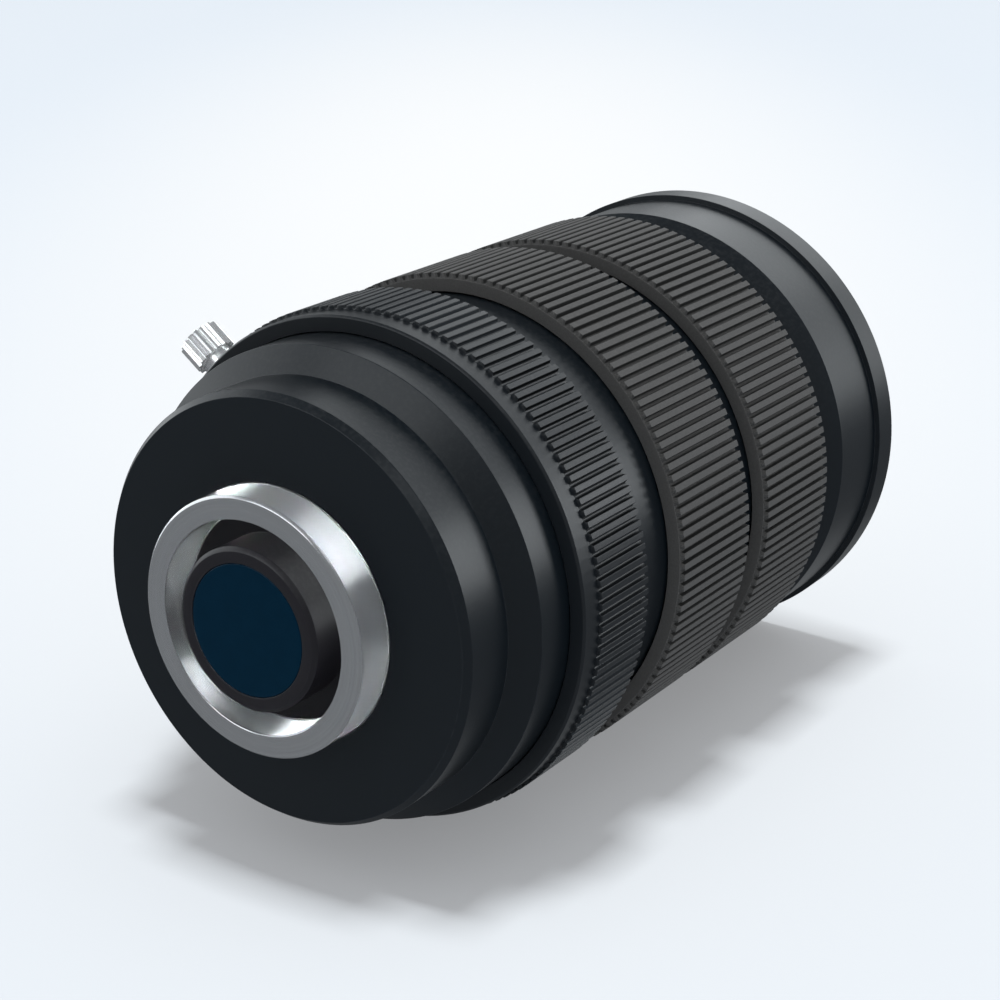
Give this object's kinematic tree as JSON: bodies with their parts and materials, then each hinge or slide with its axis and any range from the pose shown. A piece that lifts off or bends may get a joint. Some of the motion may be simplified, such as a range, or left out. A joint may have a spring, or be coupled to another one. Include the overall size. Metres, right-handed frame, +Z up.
{
  "type": "camera zoom lens",
  "caption": "Manual zoom lens with a one-inch camera thread, a lockable iris ring, ribbed zoom and focus grips, and a filter thread in its front rim.",
  "frame": {"origin": "on the optical axis, in the plane of the seat that meets the camera", "axes": "+Y forwards along the optical axis to the front glass, -Y into the camera, +Z up with the lens lying as pictured"},
  "size_m": [0.0518, 0.0829, 0.0518],
  "materials": {
    "bright_ring": "turned and fine-threaded, left bright",
    "bright_knob": "bright nickel plate, knurled",
    "black_anodised": "satin black anodised",
    "inner_black": "matt black anodised against stray light",
    "cam_metal": "fine turned, bare",
    "screw_steel": "dark steel",
    "pin_brass": "turned brass",
    "blade_steel": "blackened spring steel",
    "soft_tip": "plain nylon",
    "grip_rubber": "moulded, finely ribbed",
    "rear_glass": "polished and coated, dark inside",
    "front_glass": "polished and coated",
    "inner_glass": "polished"
  },
  "bodies": {
    "barrel": {"c_mount_ring": "bright_ring", "mount_screws": "screw_steel", "rear_housing": "black_anodised", "relay_cell": "inner_black", "relay_set_screws": "screw_steel", "rear_element": "rear_glass", "relay_crown": "inner_glass", "relay_flint": "inner_glass", "relay_spacer": "inner_black", "relay_front_element": "inner_glass", "relay_retaining_ring": "inner_black", "housing_screws": "screw_steel", "main_barrel": "black_anodised", "iris_cup": "inner_black", "iris_cover_ring": "inner_black", "guide_tube": "inner_black", "guide_tube_screws": "screw_steel", "cam_keeper_ring": "inner_black"},
    "iris_control": {"iris_ring": "black_anodised", "iris_rotor": "pin_brass", "iris_drive_screw": "screw_steel"},
    "lock_tip": {"lock_pad": "soft_tip"},
    "lock_knob": {"lock_screw": "bright_knob"},
    "zoom_control": {"zoom_ring": "black_anodised", "zoom_grip": "grip_rubber", "zoom_drive_screws": "screw_steel", "cam_tube": "cam_metal"},
    "variator": {"variator_cell": "inner_black", "variator_rear_lens": "inner_glass", "variator_front_lens": "inner_glass", "variator_retaining_ring": "inner_black", "variator_pins": "pin_brass"},
    "compensator": {"compensator_cell": "inner_black", "compensator_lens": "inner_glass", "compensator_retaining_ring": "inner_black", "compensator_pins": "pin_brass"},
    "focus_control": {"focus_ring": "black_anodised", "focus_grip": "grip_rubber", "focus_stop_screws": "screw_steel"},
    "front_group": {"front_barrel": "black_anodised", "focus_pins": "pin_brass", "front_cell": "inner_black", "front_rear_lens": "inner_glass", "front_middle_lens": "inner_glass", "front_spacer": "inner_black", "front_outer_lens": "front_glass", "front_retaining_ring": "inner_black", "front_trim_ring": "inner_black"},
    "blade_1": {"iris_blade_1": "blade_steel"},
    "blade_2": {"iris_blade_2": "blade_steel"},
    "blade_3": {"iris_blade_3": "blade_steel"},
    "blade_4": {"iris_blade_4": "blade_steel"},
    "blade_5": {"iris_blade_5": "blade_steel"},
    "blade_6": {"iris_blade_6": "blade_steel"}
  },
  "joints": [
    {"name": "iris_turn", "type": "hinge", "parent": "barrel", "child": "iris_control", "pos_m": [0, 0.0178, 0], "axis": [0, 1, 0], "range_deg": [0, 45]},
    {"name": "lock_slide", "type": "slide", "parent": "iris_control", "child": "lock_tip", "axis": [-0.7955, 0, 0.606], "range_m": [0, 0.0006]},
    {"name": "lock_turn", "type": "hinge", "parent": "lock_tip", "child": "lock_knob", "pos_m": [-0.02227, 0.0178, 0.01697], "axis": [-0.7955, 0, 0.606], "range_deg": [0, 540]},
    {"name": "zoom_turn", "type": "hinge", "parent": "barrel", "child": "zoom_control", "pos_m": [0, 0.0368, 0], "axis": [0, 1, 0], "range_deg": [0, 75]},
    {"name": "variator_slide", "type": "slide", "parent": "barrel", "child": "variator", "axis": [0, -1, 0], "range_m": [0, 0.014]},
    {"name": "compensator_slide", "type": "slide", "parent": "barrel", "child": "compensator", "axis": [0, 1, 0], "range_m": [0, 0.003]},
    {"name": "focus_turn", "type": "hinge", "parent": "barrel", "child": "focus_control", "pos_m": [0, 0.0544, 0], "axis": [0, 1, 0], "range_deg": [0, 90]},
    {"name": "front_slide", "type": "slide", "parent": "barrel", "child": "front_group", "axis": [0, 1, 0], "range_m": [0, 0.0045]},
    {"name": "blade_1_swing", "type": "hinge", "parent": "barrel", "child": "blade_1", "pos_m": [0.0136, 0.0174, 0], "axis": [0, 1, 0], "range_deg": [0, 27]},
    {"name": "blade_2_swing", "type": "hinge", "parent": "barrel", "child": "blade_2", "pos_m": [0.0068, 0.0174, -0.01178], "axis": [0, 1, 0], "range_deg": [0, 27]},
    {"name": "blade_3_swing", "type": "hinge", "parent": "barrel", "child": "blade_3", "pos_m": [-0.0068, 0.0174, -0.01178], "axis": [0, 1, 0], "range_deg": [0, 27]},
    {"name": "blade_4_swing", "type": "hinge", "parent": "barrel", "child": "blade_4", "pos_m": [-0.0136, 0.0174, 0], "axis": [0, 1, 0], "range_deg": [0, 27]},
    {"name": "blade_5_swing", "type": "hinge", "parent": "barrel", "child": "blade_5", "pos_m": [-0.0068, 0.0174, 0.01178], "axis": [0, 1, 0], "range_deg": [0, 27]},
    {"name": "blade_6_swing", "type": "hinge", "parent": "barrel", "child": "blade_6", "pos_m": [0.0068, 0.0174, 0.01178], "axis": [0, 1, 0], "range_deg": [0, 27]}
  ],
  "couplings": [
    {"joint": "lock_turn", "follows": "lock_slide", "rad_per_m": 15708},
    {"joint": "variator_slide", "follows": "zoom_turn", "m_per_rad": 0.010695},
    {"joint": "compensator_slide", "follows": "zoom_turn", "m_per_rad": 0.0022918},
    {"joint": "front_slide", "follows": "focus_turn", "m_per_rad": 0.0028647},
    {"joint": "blade_1_swing", "follows": "iris_turn", "ratio": 0.6},
    {"joint": "blade_2_swing", "follows": "iris_turn", "ratio": 0.6},
    {"joint": "blade_3_swing", "follows": "iris_turn", "ratio": 0.6},
    {"joint": "blade_4_swing", "follows": "iris_turn", "ratio": 0.6},
    {"joint": "blade_5_swing", "follows": "iris_turn", "ratio": 0.6},
    {"joint": "blade_6_swing", "follows": "iris_turn", "ratio": 0.6}
  ]
}
